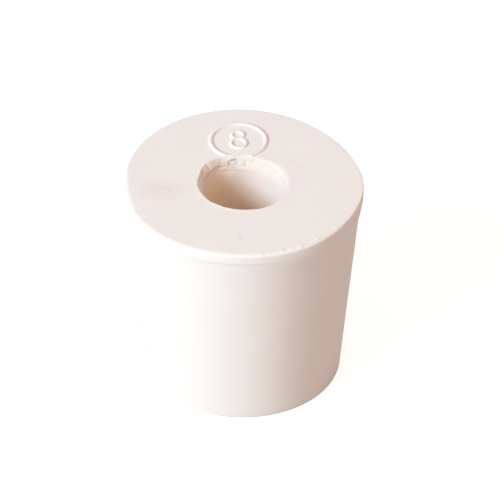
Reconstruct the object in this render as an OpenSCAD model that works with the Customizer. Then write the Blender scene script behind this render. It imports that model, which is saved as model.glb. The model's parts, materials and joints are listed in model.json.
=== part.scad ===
// One-hole laboratory stopper of soft white rubber, moulded in one piece.
// It stands on its narrow face, with the origin at the middle of that face and +Z up the bore.

/* [Body] */
// Diameter that the taper reaches at the height of the wide face
top_d = 27; // [26:0.5:32]
// Diameter of the taper at the narrow face
base_d = 22.2; // [18:0.1:25]
// Height from the narrow face to the wide face
length = 25; // [16:0.1:40]

/* [Edges] */
// Radius of the rolled edge round the wide face
top_edge_r = 0.45; // [0.2:0.05:1]
// Radius of the moulded edge round the narrow face
base_edge_r = 0.25; // [0.15:0.05:1]
// Height of the straight trimmed band that runs round under the wide face
band_h = 1.2; // [1.1:0.1:3]
// How far the band's foot stands out from the taper
band_proud = 0.2; // [0.05:0.01:0.3]
// Height of the slope by which the side swells out to the band's foot
swell_h = 1.8; // [0.1:0.1:3]

/* [Bore] */
// Diameter of the straight bore
bore_d = 8.9; // [6:0.1:12]
// How much further out than the bore the mouth reaches at the wide face
mouth_flare = 0.55; // [0.1:0.05:0.8]
// Depth of the flared mouth, from the wide face down to the clean bore
mouth_depth = 1.4; // [0.8:0.1:4]

/* [Ring mark] */
// Diameter of the raised ring on the wide face, along the middle of its line
ring_d = 6.3; // [4:0.1:6.8]
// Width of the ring's raised line
line_w = 0.6; // [0.4:0.05:1]
// Height of the raised line over the wide face
line_h = 0.25; // [0.15:0.05:0.4]
// How far the ring's line runs in over the mouth of the bore
ring_run_in = 0.35; // [0.1:0.05:0.6]
// Turn of the ring about the bore, from the +X side
ring_turn = 94; // [0:1:359]

/* [Hidden] */
$fn = 96;
// How far a cut runs past the face that it opens, and how far a rolled edge's disc crosses its side
EPS = 0.01;
HAIR = 0.0005;

top_r = top_d / 2;
base_r = base_d / 2;
bore_r = bore_d / 2;
mouth_r = bore_r + mouth_flare;

// Half-angle of the taper, and how far from the sharp lower corner the rolled edge would begin
taper = atan((top_r - base_r) / length);
base_corner = base_edge_r * tan(45 - taper / 2);

// Heights of the band's foot and of the swell's foot, and the radius of the band
band_foot = length - band_h;
swell_foot = band_foot - swell_h;
band_r = taper_r(band_foot) + band_proud;

// How much the mouth widens with each millimetre of height, and how high its cut reaches
flare_rate = mouth_flare / mouth_depth;
mouth_cut_h = mouth_depth + line_h + EPS;

// The raised line is the crest of a round wire sunk into the face
wire_r = (pow(line_w / 2, 2) + pow(line_h, 2)) / (2 * line_h);
wire_z = length + line_h - wire_r;
ring_r = ring_d / 2;
ring_place = mouth_r + ring_r + line_w / 2 - ring_run_in;

// Radius of the plain taper at a height
function taper_r(z) = base_r + z * tan(taper);

// Half of the body's section, solid to the axis, with its two outer edges rolled
module body_section() {
    base_round_x = base_r - base_corner + HAIR;
    top_round_x = band_r - top_edge_r + HAIR;
    polygon([
        [0, 0],
        [base_round_x, 0],
        [base_r + base_corner * sin(taper), base_corner * cos(taper)],
        [taper_r(swell_foot), swell_foot],
        [band_r, band_foot],
        [band_r, length - top_edge_r],
        [top_round_x, length],
        [0, length],
    ]);
    translate([base_round_x, base_edge_r]) circle(base_edge_r);
    translate([top_round_x, length - top_edge_r]) circle(top_edge_r);
}

// The ring's raised line, ready to stand on the wide face
module ring_mark() {
    rotate([0, 0, ring_turn]) translate([ring_place, 0, wire_z])
        rotate_extrude() translate([ring_r, 0]) circle(wire_r);
}

// The straight bore and its flared mouth, whose flare runs on up through the raised line
module bore() {
    translate([0, 0, -EPS]) cylinder(r = bore_r, h = length + 2 * EPS);
    translate([0, 0, length - mouth_depth])
        cylinder(r1 = bore_r, r2 = bore_r + flare_rate * mouth_cut_h, h = mouth_cut_h);
}

module stopper() {
    color([0.94, 0.9, 0.87]) difference() {
        union() {
            rotate_extrude() body_section();
            ring_mark();
        }
        bore();
    }
}

stopper();
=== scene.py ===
"""One-hole laboratory stopper of soft white rubber, dressed in a plain studio.

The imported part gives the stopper's place and sizes. The moulded body is tapered and given its
uneven trimmed rim, the raised mark is joined to its wide face, and a torn bore is cut through both,
as the real one is moulded, marked and stripped off its pin. All lengths are in metres, +Z runs up
the bore, the narrow face is at z = 0, and turns are in degrees about +Z from the +X side.
"""

import json
import logging
import math
from contextlib import contextmanager
from dataclasses import dataclass
from enum import Enum
from typing import Callable, Iterator

import bmesh
import bpy
from mathutils import Matrix, Vector, noise


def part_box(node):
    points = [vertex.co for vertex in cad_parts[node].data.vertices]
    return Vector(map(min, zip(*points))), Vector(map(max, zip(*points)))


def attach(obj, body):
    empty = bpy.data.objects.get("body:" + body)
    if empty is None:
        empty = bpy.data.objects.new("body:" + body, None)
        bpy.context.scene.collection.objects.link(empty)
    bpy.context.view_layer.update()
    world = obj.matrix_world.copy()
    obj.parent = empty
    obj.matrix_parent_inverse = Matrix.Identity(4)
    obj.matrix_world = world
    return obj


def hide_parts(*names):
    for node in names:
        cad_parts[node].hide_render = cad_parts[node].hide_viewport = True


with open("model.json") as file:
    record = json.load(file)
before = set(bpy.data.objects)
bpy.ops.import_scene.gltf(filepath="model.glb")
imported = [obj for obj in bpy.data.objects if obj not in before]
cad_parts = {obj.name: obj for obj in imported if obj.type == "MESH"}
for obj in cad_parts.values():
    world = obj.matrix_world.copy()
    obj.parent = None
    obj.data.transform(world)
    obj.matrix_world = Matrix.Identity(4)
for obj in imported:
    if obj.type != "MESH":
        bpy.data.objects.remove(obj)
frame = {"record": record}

MM = 0.001
HAIR = 1e-8  # slack for heights that only rounding sets apart
NODE = "stopper"
BODY = "root"
LOG = logging.getLogger("stopper")

Triple = tuple[float, float, float]
Colour = Triple
PlaceTest = Callable[[Vector, Vector], bool]


# ---------------------------------------------------------------- small tools

def mm(*lengths: float) -> tuple[float, ...]:
    """Lengths in metres from lengths in millimetres."""
    return tuple(length * MM for length in lengths)


class Pick(Enum):
    """What the edit-mode operators work on."""

    EDGES = "EDGE"
    FACES = "FACE"


class Join(Enum):
    """How two solids are combined."""

    UNION = "UNION"
    DIFFERENCE = "DIFFERENCE"


def clear_selection() -> None:
    """Leave edit mode and deselect every object."""
    if bpy.context.object and bpy.context.object.mode != "OBJECT":
        bpy.ops.object.mode_set(mode="OBJECT")
    bpy.ops.object.select_all(action="DESELECT")


def take(piece: bpy.types.Object) -> None:
    """Make one object the only selected and active one.

    Args:
        piece: The object.
    """
    clear_selection()
    piece.select_set(True)
    bpy.context.view_layer.objects.active = piece


@contextmanager
def editing(piece: bpy.types.Object, pick: Pick) -> Iterator[None]:
    """Edit one object's mesh with nothing selected at the start.

    Args:
        piece: The mesh object to edit.
        pick: What the selections are made of.
    """
    take(piece)
    bpy.ops.object.mode_set(mode="EDIT")
    bpy.ops.mesh.select_mode(type=pick.value)
    bpy.ops.mesh.select_all(action="DESELECT")
    yield
    bpy.ops.object.mode_set(mode="OBJECT")


def select_faces(piece: bpy.types.Object, test: PlaceTest) -> None:
    """Select just the faces that pass a test.

    Args:
        piece: The mesh object in edit mode.
        test: Takes a face's centre and normal, and says whether it is wanted.
    """
    bpy.ops.mesh.select_all(action="DESELECT")
    mesh = bmesh.from_edit_mesh(piece.data)
    for face in [face for face in mesh.faces if test(face.calc_center_median(), face.normal)]:
        face.select_set(True)
    bmesh.update_edit_mesh(piece.data)


def select_edges(piece: bpy.types.Object, test: PlaceTest) -> None:
    """Select just the edges that pass a test.

    Args:
        piece: The mesh object in edit mode.
        test: Takes the places of an edge's two ends, and says whether it is wanted.
    """
    bpy.ops.mesh.select_all(action="DESELECT")
    mesh = bmesh.from_edit_mesh(piece.data)
    for edge in [edge for edge in mesh.edges if test(edge.verts[0].co, edge.verts[1].co)]:
        edge.select_set(True)
    bmesh.update_edit_mesh(piece.data)


def widen(factor: float, height: float) -> None:
    """Scale the selection about the axis, in the plane of the faces."""
    bpy.ops.transform.resize(value=(factor, factor, 1.0), center_override=(0.0, 0.0, height))


def extrude_up(rise: float) -> None:
    """Extrude the selected faces straight up."""
    bpy.ops.mesh.extrude_region_move(TRANSFORM_OT_translate={"value": (0.0, 0.0, rise)})


def placed(name: str) -> bpy.types.Object:
    """Name the primitive that was just added, and put its place into its mesh.

    Args:
        name: The object's name.

    Returns:
        The object.
    """
    piece = bpy.context.object
    piece.name = name
    bpy.ops.object.transform_apply(location=True, rotation=True, scale=True)
    return piece


def add_cylinder(name: str, around: int, radius: float, low: float,
                 high: float) -> bpy.types.Object:
    """Add an upright cylinder on the axis, closed at both ends.

    Args:
        name: The object's name.
        around: How many faces run round it.
        radius: Its radius.
        low: Height of its lower end.
        high: Height of its upper end.

    Returns:
        The cylinder.
    """
    clear_selection()
    bpy.ops.mesh.primitive_cylinder_add(
        vertices=around, radius=radius, depth=high - low, end_fill_type="NGON",
        location=(0.0, 0.0, (high + low) / 2))
    return placed(name)


def radius_of(place: Vector) -> float:
    """Distance of a point from the bore's axis."""
    return math.hypot(place.x, place.y)


def turn_of(place: Vector) -> float:
    """Turn of a point about the axis, in degrees."""
    return math.degrees(math.atan2(place.y, place.x))


def outward_at(place: Vector) -> Vector:
    """The level direction from the axis through a point."""
    return Vector((place.x, place.y, 0.0)).normalized()


def near(value: float, wanted: float, reach: float = 0.02 * MM) -> bool:
    """Whether a length is as good as another."""
    return abs(value - wanted) < reach


def smooth_step(value: float, start: float, end: float) -> float:
    """A soft ramp from 0 at start to 1 at end, in either order."""
    share = min(1.0, max(0.0, (value - start) / (end - start)))
    return share * share * (3.0 - 2.0 * share)


def soft_bump(share: float) -> float:
    """A soft bump: 1 at 0, falling to 0 at 1 and beyond."""
    return (1.0 - share * share) ** 2 if abs(share) < 1.0 else 0.0


def turn_between(turn: float, other: float) -> float:
    """The shorter way round from one turn to another, in degrees, with its sign."""
    return (turn - other + 180.0) % 360.0 - 180.0


def join_by(piece: bpy.types.Object, other: bpy.types.Object, how: Join) -> None:
    """Combine one solid with another and delete the other.

    Args:
        piece: The solid that stays.
        other: The solid that is added or cut away.
        how: Whether the other is added or cut away.
    """
    take(piece)
    step = piece.modifiers.new(how.name.lower(), "BOOLEAN")
    step.operation = how.value
    step.solver = "EXACT"
    step.object = other
    bpy.ops.object.modifier_apply(modifier=step.name)
    bpy.data.objects.remove(other)


# ---------------------------------------------------------------- forms in the skin

@dataclass(frozen=True)
class Waves:
    """Random waves.

    Attributes:
        length: From one wave to the next, roughly.
        shift: Where in their pattern they are read.
        sets: How many sets of waves lie over one another.
        fade: How fast the finer sets fade.
        finer: How many times finer each set is than the one before it.
    """

    length: float
    shift: Triple = (0.0, 0.0, 0.0)
    sets: int = 1
    fade: float = 1.0
    finer: float = 2.0

    def at(self, place: Vector) -> float:
        """Their height at a point.

        Args:
            place: The point.

        Returns:
            The height, from about -1 to 1.
        """
        where = place / self.length + Vector(self.shift)
        if self.sets == 1:
            return noise.noise(where)
        return noise.fractal(where, self.fade, self.finer, self.sets)


@dataclass(frozen=True)
class Swell:
    """A soft change, over part of the way round, of a size that runs round the axis.

    Attributes:
        turn: Its middle.
        reach: Half its width, in degrees.
        rise: How much it adds at its middle.
    """

    turn: float
    reach: float
    rise: float

    def at(self, turn: float) -> float:
        """What it adds at a turn."""
        return self.rise * soft_bump(turn_between(turn, self.turn) / self.reach)


@dataclass(frozen=True)
class RoundSize:
    """A size that varies round the axis.

    Attributes:
        plain: The size where nothing changes it.
        swells: What changes it.
    """

    plain: float
    swells: tuple[Swell, ...] = ()

    def at(self, turn: float) -> float:
        """The size at a turn."""
        return self.plain + sum(swell.at(turn) for swell in self.swells)


@dataclass(frozen=True)
class Pimple:
    """A round mark in the wide face or on the rim.

    Attributes:
        x: Its middle to the right of the axis.
        y: Its middle behind the axis.
        reach: Its radius.
        rise: Its height, below zero for a dent.
    """

    x: float
    y: float
    reach: float
    rise: float

    def at(self, place: Vector) -> float:
        """How far it lifts the skin at a point."""
        return self.rise * soft_bump(math.hypot(place.x - self.x, place.y - self.y) / self.reach)

    def covers(self, place: Vector, margin: float) -> bool:
        """Whether a point is in it or within a margin of it."""
        return math.hypot(place.x - self.x, place.y - self.y) < self.reach + margin


@dataclass(frozen=True)
class Scratch:
    """A fine straight scratch in the wide face.

    Attributes:
        start: Where it starts, in x and y.
        end: Where it ends, in x and y.
        reach: Half its width.
        depth: How deep it is.
    """

    start: tuple[float, float]
    end: tuple[float, float]
    reach: float
    depth: float

    def _away(self, place: Vector) -> float:
        """Distance of a point from the scratch's line.

        Args:
            place: The point.

        Returns:
            The distance, seen from above.
        """
        start, end = Vector(self.start), Vector(self.end)
        along = end - start
        share = min(1.0, max(0.0, (place.xy - start).dot(along) / along.length_squared))
        return (place.xy - start - along * share).length

    def at(self, place: Vector) -> float:
        """How far it lifts the skin at a point, which is below zero."""
        return -self.depth * soft_bump(self._away(place) / self.reach)

    def covers(self, place: Vector, margin: float) -> bool:
        """Whether a point is in it or within a margin of it."""
        return self._away(place) < self.reach + margin


# ---------------------------------------------------------------- sizes

@dataclass(frozen=True)
class StopperSizes:
    """The stopper's sizes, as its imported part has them.

    Attributes:
        face_z: Height of the wide face.
        band_r: Mean radius of the trimmed band.
        bore_r: Radius of the straight bore.
        bore_top: Height at which the clean bore ends and the mouth begins.
        mark_h: Height of the raised mark over the wide face.
        top_r: Radius that the taper reaches at the height of the wide face.
        base_r: Radius of the taper at the narrow face.
        mouth_flare: How much further out than the bore the mouth reaches at the wide face.
    """

    face_z: float
    band_r: float
    bore_r: float
    bore_top: float
    mark_h: float = 0.25 * MM
    top_r: float = 13.5 * MM
    base_r: float = 11.1 * MM
    mouth_flare: float = 0.55 * MM

    @classmethod
    def from_frame(cls, record: dict) -> "StopperSizes":
        """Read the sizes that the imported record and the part's own box hold.

        Args:
            record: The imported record.

        Returns:
            The stopper's sizes.
        """
        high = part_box(NODE)[1]
        bore = next(mount for mount in record["mounts"] if mount["name"] == "bore")
        return cls(
            face_z=high.z - cls.mark_h,
            band_r=high.x,
            bore_r=bore["dims"]["r_mm"] * MM,
            bore_top=bore["pos_m"][2] + bore["dims"]["length_mm"] * MM / 2,
        )

    @property
    def mouth_r(self) -> float:
        """Radius of the mouth at the wide face."""
        return self.bore_r + self.mouth_flare

    @property
    def lean(self) -> float:
        """How much the plain taper's radius grows with each metre of height."""
        return (self.top_r - self.base_r) / self.face_z

    def taper_r(self, height: float) -> float:
        """Radius of the plain taper at a height."""
        return self.base_r + self.lean * height


# ---------------------------------------------------------------- the moulded body

@dataclass
class MouldedBody:
    """The tapered body, solid to its axis, with its trimmed band and rolled edges.

    It is modelled true first, with an even band and an even roll. Its rings are then moved to the
    uneven rim, and its skin to the lumps, dents and slow waves of soft rubber.

    Attributes:
        sizes: The stopper's sizes.
        around: How many faces run round the body.
        even_roll: Radius rolled round the wide face before the rim is made uneven.
        base_edge_r: Radius rolled round the narrow face.
        band_h: Height of the trimmed band.
        swell_h: Least height of the slope by which the side swells out to the band.
        swell_spread: How much that height grows with each metre that the band stands out further.
        rim: Radius of the band.
        roll_in: How far in over the wide face its rolled edge reaches.
        roll_down: How far down the band its rolled edge reaches.
        foot_step: How far the band's foot overhangs the slope under it.
        band_wander: How far the band's foot wanders up and down.
        wander_waves: How it wanders, over the direction out from the axis.
        still_h: Height under which the trimming moves nothing.
        steady_r: Radius within which the rim moves nothing.
        lip_r: Outer radius of the closely divided zone round the mouth.
        well_r: Radius of the plain middle of both faces, inside the bore that is cut later.
        well_margin: How far out from that middle the skin begins to be shaped.
        bead: Height of the thin bead that stands up round the mouth.
        bead_gap: From the mouth's radius to the bead's crest.
        bead_reach: Half the bead's width.
        bead_waves: How the bead's height varies.
        bead_mean: Mean share of its height that the bead has.
        bead_swing: How far that share varies either way.
        skin_wave: How far the moulded skin wanders from its true form.
        slow_waves: The skin's long waves.
        quick_waves: The skin's short waves.
        quick_share: Share of the skin's wander that its short waves have.
        calm_h: Height at which the waves are full, from none at the narrow face.
        face_calm: How deep the wide face's waves are, as a share of the side's.
        mark_zone: How far under the wide face the bead and the face's marks are looked for.
        lump_zone: How far under the wide face the rim's lumps are looked for.
        lump_up: How far the top of a lump moves up, as a share of its height.
        lump_out: How far the top of a lump moves outwards, as a share of its height.
        mark_margin: How far round each mark the faces are divided more closely.
        face_marks: Dents and pimples in the wide face.
        scratches: Scratches in the wide face.
        rim_lumps: Lumps that the trimming left on the rim.
    """

    sizes: StopperSizes
    around: int = 512
    even_roll: float = 0.45 * MM
    base_edge_r: float = 0.25 * MM
    band_h: float = 1.2 * MM
    swell_h: float = 1.8 * MM
    swell_spread: float = 8.0
    rim: RoundSize = RoundSize(13.46 * MM, (
        Swell(100.0, 80.0, 0.76 * MM),
        Swell(140.0, 40.0, 0.10 * MM),
        Swell(64.0, 34.0, -0.19 * MM),
        Swell(38.0, 35.0, -0.20 * MM),
        Swell(-5.0, 26.0, 0.17 * MM),
        Swell(-48.0, 46.0, 0.24 * MM),
    ))
    roll_in: RoundSize = RoundSize(0.14 * MM, (
        Swell(186.0, 21.0, 0.60 * MM),
        Swell(-84.0, 42.0, 0.50 * MM),
        Swell(-128.0, 42.0, 0.28 * MM),
        Swell(-45.0, 40.0, 0.16 * MM),
        Swell(115.0, 60.0, 0.10 * MM),
    ))
    roll_down: RoundSize = RoundSize(0.16 * MM, (
        Swell(-72.0, 75.0, 0.14 * MM),
        Swell(186.0, 30.0, 0.20 * MM),
    ))
    foot_step: RoundSize = RoundSize(0.01 * MM, (
        Swell(-95.0, 34.0, 0.08 * MM),
    ))
    band_wander: float = 0.10 * MM
    wander_waves: Waves = Waves(0.25)
    still_h: float = 0.5 * MM
    steady_r: float = 8.0 * MM
    lip_r: float = 6.0 * MM
    well_r: float = 3.5 * MM
    well_margin: float = 0.1 * MM
    bead: RoundSize = RoundSize(0.015 * MM, (
        Swell(250.0, 75.0, 0.04 * MM),
    ))
    bead_gap: RoundSize = RoundSize(0.25 * MM, (
        Swell(-108.0, 62.0, -0.27 * MM),
    ))
    bead_reach: float = 0.22 * MM
    bead_waves: Waves = Waves(0.8 * MM, (2.0, 9.0, 4.0))
    bead_mean: float = 0.7
    bead_swing: float = 0.6
    skin_wave: float = 0.03 * MM
    slow_waves: Waves = Waves(6.0 * MM)
    quick_waves: Waves = Waves(1.7 * MM, (7.0, 3.0, 1.0))
    quick_share: float = 0.25
    calm_h: float = 2.0 * MM
    face_calm: float = 0.5
    mark_zone: float = 1.0 * MM
    lump_zone: float = 0.8 * MM
    lump_up: float = 0.5
    lump_out: float = 0.6
    mark_margin: float = 0.15 * MM
    face_marks: tuple[Pimple, ...] = (
        Pimple(*mm(6.0, 4.2, 0.55, -0.03)),
        Pimple(*mm(-8.4, -1.4, 0.35, 0.04)),
        Pimple(*mm(-0.2, -9.9, 0.35, -0.03)),
        Pimple(*mm(-2.4, -10.1, 0.30, -0.02)),
        Pimple(*mm(7.6, -8.6, 0.45, -0.02)),
    )
    scratches: tuple[Scratch, ...] = (
        Scratch(mm(-8.6, -0.25), mm(-5.5, 0.25), *mm(0.07, 0.02)),
    )
    rim_lumps: tuple[Pimple, ...] = (
        Pimple(*mm(11.3, -6.9, 0.40, 0.06)),
        Pimple(*mm(10.4, -8.0, 0.44, 0.09)),
        Pimple(*mm(9.6, -9.0, 0.36, 0.05)),
        Pimple(*mm(8.3, -10.2, 0.46, 0.10)),
        Pimple(*mm(6.4, -11.5, 0.50, 0.10)),
        Pimple(*mm(5.4, -12.0, 0.40, 0.06)),
        Pimple(*mm(4.4, -12.4, 0.44, 0.09)),
        Pimple(*mm(2.9, -12.8, 0.40, 0.05)),
        Pimple(*mm(2.0, -13.0, 0.50, 0.09)),
    )

    def build(self) -> bpy.types.Object:
        """Model the body.

        Returns:
            The body as a closed mesh object.
        """
        sizes = self.sizes
        body = add_cylinder("stopper_rubber", self.around, sizes.base_r, 0.0, sizes.face_z)
        self._taper(body)
        self._raise_band(body)
        self._roll_edges(body)
        self._add_rings(body)
        self._refine(body)
        for point in body.data.vertices:
            if radius_of(point.co) > self.well_r + self.well_margin:
                point.co = self._settled(self._trimmed(point.co))
        return body

    @property
    def band_foot(self) -> float:
        """Height of the band's foot."""
        return self.sizes.face_z - self.band_h

    @property
    def flat_r(self) -> float:
        """Radius at which the even roll begins."""
        return self.sizes.band_r - self.even_roll

    @property
    def even_top(self) -> float:
        """Height at which the even roll begins."""
        return self.sizes.face_z - self.even_roll

    @property
    def base_corner(self) -> float:
        """How far from the sharp lower corner the narrow face's rolled edge begins."""
        return self.base_edge_r * math.tan(math.pi / 4 - math.atan(self.sizes.lean) / 2)

    def _taper(self, body: bpy.types.Object) -> None:
        """Widen the upper face to the taper, and inset both faces round the bore's place.

        Args:
            body: The body's mesh object.
        """
        sizes = self.sizes
        with editing(body, Pick.FACES):
            select_faces(body, lambda centre, normal: normal.z > 0.9)
            widen(sizes.top_r / sizes.base_r, sizes.face_z)
            bpy.ops.mesh.inset(thickness=sizes.top_r - self.lip_r)
            bpy.ops.mesh.inset(thickness=self.lip_r - self.well_r)
            select_faces(body, lambda centre, normal: normal.z < -0.9)
            bpy.ops.mesh.inset(thickness=sizes.base_r - self.well_r)

    def _raise_band(self, body: bpy.types.Object) -> None:
        """Cut the side under the wide face and stand the straight band out from it.

        Args:
            body: The body's mesh object.
        """
        sizes = self.sizes
        with editing(body, Pick.FACES):
            for height in (self.band_foot, self.band_foot - self.swell_h):
                select_faces(body, lambda centre, normal: abs(normal.z) < 0.5)
                bpy.ops.mesh.bisect(plane_co=(0.0, 0.0, height), plane_no=(0.0, 0.0, 1.0),
                                    threshold=1e-7)
            bpy.ops.mesh.select_mode(type=Pick.EDGES.value)
            for height in (self.band_foot, sizes.face_z):
                plain_r = sizes.taper_r(height)
                select_edges(body, lambda a, b: near(a.z, height) and near(b.z, height)
                             and near(radius_of(a), plain_r) and near(radius_of(b), plain_r))
                widen(sizes.band_r / plain_r, height)

    def _roll_edges(self, body: bpy.types.Object) -> None:
        """Roll the outer edges of both faces.

        Args:
            body: The body's mesh object.
        """
        sizes = self.sizes
        rolls = ((sizes.face_z, sizes.band_r, self.even_roll, 12),
                 (0.0, sizes.base_r, self.base_corner, 5))
        with editing(body, Pick.EDGES):
            for height, edge_r, offset, segments in rolls:
                select_edges(body, lambda a, b: near(a.z, height) and near(b.z, height)
                             and near(radius_of(a), edge_r) and near(radius_of(b), edge_r))
                bpy.ops.mesh.bevel(offset=offset, offset_type="OFFSET", segments=segments,
                                   profile=0.5)

    def _add_rings(self, body: bpy.types.Object) -> None:
        """Divide the long faces into rings, so that the skin can be shaped.

        Args:
            body: The body's mesh object.
        """
        face_z = self.sizes.face_z
        slack, least_stave = mm(0.05, 0.25)

        def spoke(inner: float, outer: float, height: float) -> PlaceTest:
            """A test for the level edges that run out from one radius to another."""
            return lambda a, b: (near(a.z, height) and near(b.z, height)
                                 and near(min(radius_of(a), radius_of(b)), inner, slack)
                                 and near(max(radius_of(a), radius_of(b)), outer, slack))

        def stave(low: float, high: float) -> PlaceTest:
            """A test for the long edges that run up between two heights."""
            return lambda a, b: (min(a.z, b.z) > low - slack and max(a.z, b.z) < high + slack
                                 and abs(a.z - b.z) > least_stave)

        divisions = (
            (spoke(self.lip_r, self.flat_r, face_z), 22),
            (spoke(self.well_r, self.lip_r, face_z), 30),
            (spoke(self.well_r, self.sizes.base_r - self.base_corner, 0.0), 10),
            (stave(self.base_corner, self.band_foot - self.swell_h), 22),
            (stave(self.band_foot - self.swell_h, self.band_foot), 8),
            (stave(self.band_foot, face_z), 6),
        )
        with editing(body, Pick.EDGES):
            for test, cuts in divisions:
                select_edges(body, test)
                bpy.ops.mesh.subdivide(number_cuts=cuts)

    def _refine(self, body: bpy.types.Object) -> None:
        """Divide the faces at the small marks more closely, where the marks will show.

        Args:
            body: The body's mesh object.
        """
        over = self.even_top - 0.3 * MM  # a little under the wide face's rolled edge
        passes = ((self.face_marks + self.rim_lumps, 2), (self.scratches, 4))
        with editing(body, Pick.FACES):
            for marks, cuts in passes:
                select_faces(body, lambda centre, normal: centre.z > over and any(
                    mark.covers(centre, self.mark_margin) for mark in marks))
                bpy.ops.mesh.subdivide(number_cuts=cuts)

    def _trimmed(self, place: Vector) -> Vector:
        """Move a point of the true body to the uneven trimmed rim.

        Args:
            place: A point of the true body.

        Returns:
            Its place on the real one.
        """
        sizes = self.sizes
        turn, reach, height = turn_of(place), radius_of(place), place.z
        rim_r = self.rim.at(turn)
        roll_in, roll_down = self.roll_in.at(turn), self.roll_down.at(turn)
        foot = self.band_foot + self.band_wander * self.wander_waves.at(outward_at(place))
        stands_out = rim_r - sizes.taper_r(self.band_foot)
        swell_h = self.swell_h + self.swell_spread * max(0.0, rim_r - self.rim.plain)
        if height > self.even_top + HAIR:
            if reach <= self.flat_r:
                share = max(0.0, (reach - self.steady_r) / (self.flat_r - self.steady_r))
                new_r = min(reach, self.steady_r) + share * (rim_r - roll_in - self.steady_r)
            else:
                new_r = rim_r - roll_in + (reach - self.flat_r) * roll_in / self.even_roll
            new_z = sizes.face_z - (sizes.face_z - height) * roll_down / self.even_roll
        elif height > self.band_foot - HAIR:
            share = (height - self.band_foot) / (self.even_top - self.band_foot)
            new_r = rim_r
            new_z = foot + share * (sizes.face_z - roll_down - foot)
        elif height > self.still_h:
            low = self.band_foot - self.swell_h
            new_z = height if height < low else low + (height - low) * (foot - low) / self.swell_h
            stands_out -= self.foot_step.at(turn)
            swollen = smooth_step(height, self.band_foot - swell_h, self.band_foot)
            new_r = sizes.taper_r(height) + stands_out * swollen
        else:
            return place.copy()
        return outward_at(place) * new_r + Vector((0.0, 0.0, new_z))

    def _settled(self, place: Vector) -> Vector:
        """Move a point of the trimmed body to the waves, bead and marks of its skin.

        Args:
            place: A point of the trimmed body.

        Returns:
            Its final place.
        """
        sizes = self.sizes
        reach, turn = radius_of(place), turn_of(place)
        slow, quick = self.slow_waves.at(place), self.quick_waves.at(place)
        drift = self.skin_wave * ((1.0 - self.quick_share) * slow + self.quick_share * quick)
        drift *= smooth_step(place.z, 0.0, self.calm_h)
        on_top = smooth_step(place.z, sizes.face_z - self.roll_down.at(turn), sizes.face_z)
        lift = self.face_calm * drift * on_top
        if place.z > sizes.face_z - self.mark_zone:
            uneven = self.bead_mean + self.bead_swing * self.bead_waves.at(place)
            crest = (reach - sizes.mouth_r - self.bead_gap.at(turn)) / self.bead_reach
            lift += self.bead.at(turn) * uneven * soft_bump(crest)
            lift += sum(mark.at(place) for mark in self.face_marks + self.scratches)
        lump = 0.0
        if place.z > sizes.face_z - self.lump_zone:
            lump = sum(mark.at(place) for mark in self.rim_lumps)
        upright, outward = Vector((0.0, 0.0, 1.0)), outward_at(place)
        waved = place + upright * lift + outward * (1.0 - on_top) * drift
        return waved + (upright * self.lump_up + outward * self.lump_out) * lump


# ---------------------------------------------------------------- the raised mark

@dataclass(frozen=True)
class Loop:
    """A closed loop of the mark's raised line.

    Attributes:
        name: The loop's name.
        radius: Radius of the loop, along the middle of its line.
        line_w: Width of the line where it leaves the face.
        rise: Height of the line's crest, as a share of the mark's height.
        segments: How many faces run round the loop.
    """

    name: str
    radius: float
    line_w: float
    rise: float
    segments: int


@dataclass
class RaisedMark:
    """A plain ring and a plain figure that stand up from the wide face behind the mouth.

    Attributes:
        sizes: The stopper's sizes.
        run_in: How far the ring's line runs in over the mouth.
        turn: Turn of the mark about the bore.
        ring: The ring.
        lower: The figure's lower loop.
        upper: The figure's upper loop.
        figure_shift: How far the figure's middle stands behind the ring's.
        line_segments: How many faces run round the line itself.
    """

    sizes: StopperSizes
    run_in: float = 0.35 * MM
    turn: float = 94.0
    ring: Loop = Loop("mark_ring", 3.15 * MM, 0.6 * MM, 0.80, 160)
    lower: Loop = Loop("figure_lower", 0.86 * MM, 0.5 * MM, 0.78, 72)
    upper: Loop = Loop("figure_upper", 0.66 * MM, 0.5 * MM, 0.76, 72)
    figure_shift: float = 0.125 * MM
    line_segments: int = 28

    def build(self) -> list[bpy.types.Object]:
        """Model the ring and the figure's two loops as round wires sunk into the wide face.

        Returns:
            The wires as closed mesh objects.
        """
        out = math.radians(self.turn)
        direction = Vector((math.cos(out), math.sin(out), 0.0))
        ring, lower, upper = self.ring, self.lower, self.upper
        middle = direction * (self.sizes.mouth_r + ring.radius + ring.line_w / 2 - self.run_in)
        lower_middle = middle - direction * (upper.radius - self.figure_shift)
        upper_middle = lower_middle + direction * (lower.radius + upper.radius)
        middles = ((ring, middle), (lower, lower_middle), (upper, upper_middle))
        return [self._wire(loop, loop_middle) for loop, loop_middle in middles]

    def _wire(self, loop: Loop, middle: Vector) -> bpy.types.Object:
        """One round wire, sunk so that only its crest stands up from the face.

        Args:
            loop: The loop that it shows.
            middle: The loop's middle, at any height.

        Returns:
            The wire as a closed mesh object.
        """
        height = self.sizes.mark_h * loop.rise
        wire_r = ((loop.line_w / 2) ** 2 + height ** 2) / (2 * height)
        clear_selection()
        bpy.ops.mesh.primitive_torus_add(
            location=(middle.x, middle.y, self.sizes.face_z + height - wire_r),
            major_radius=loop.radius, minor_radius=wire_r,
            major_segments=loop.segments, minor_segments=self.line_segments)
        return placed(loop.name)


# ---------------------------------------------------------------- the torn bore

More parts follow.
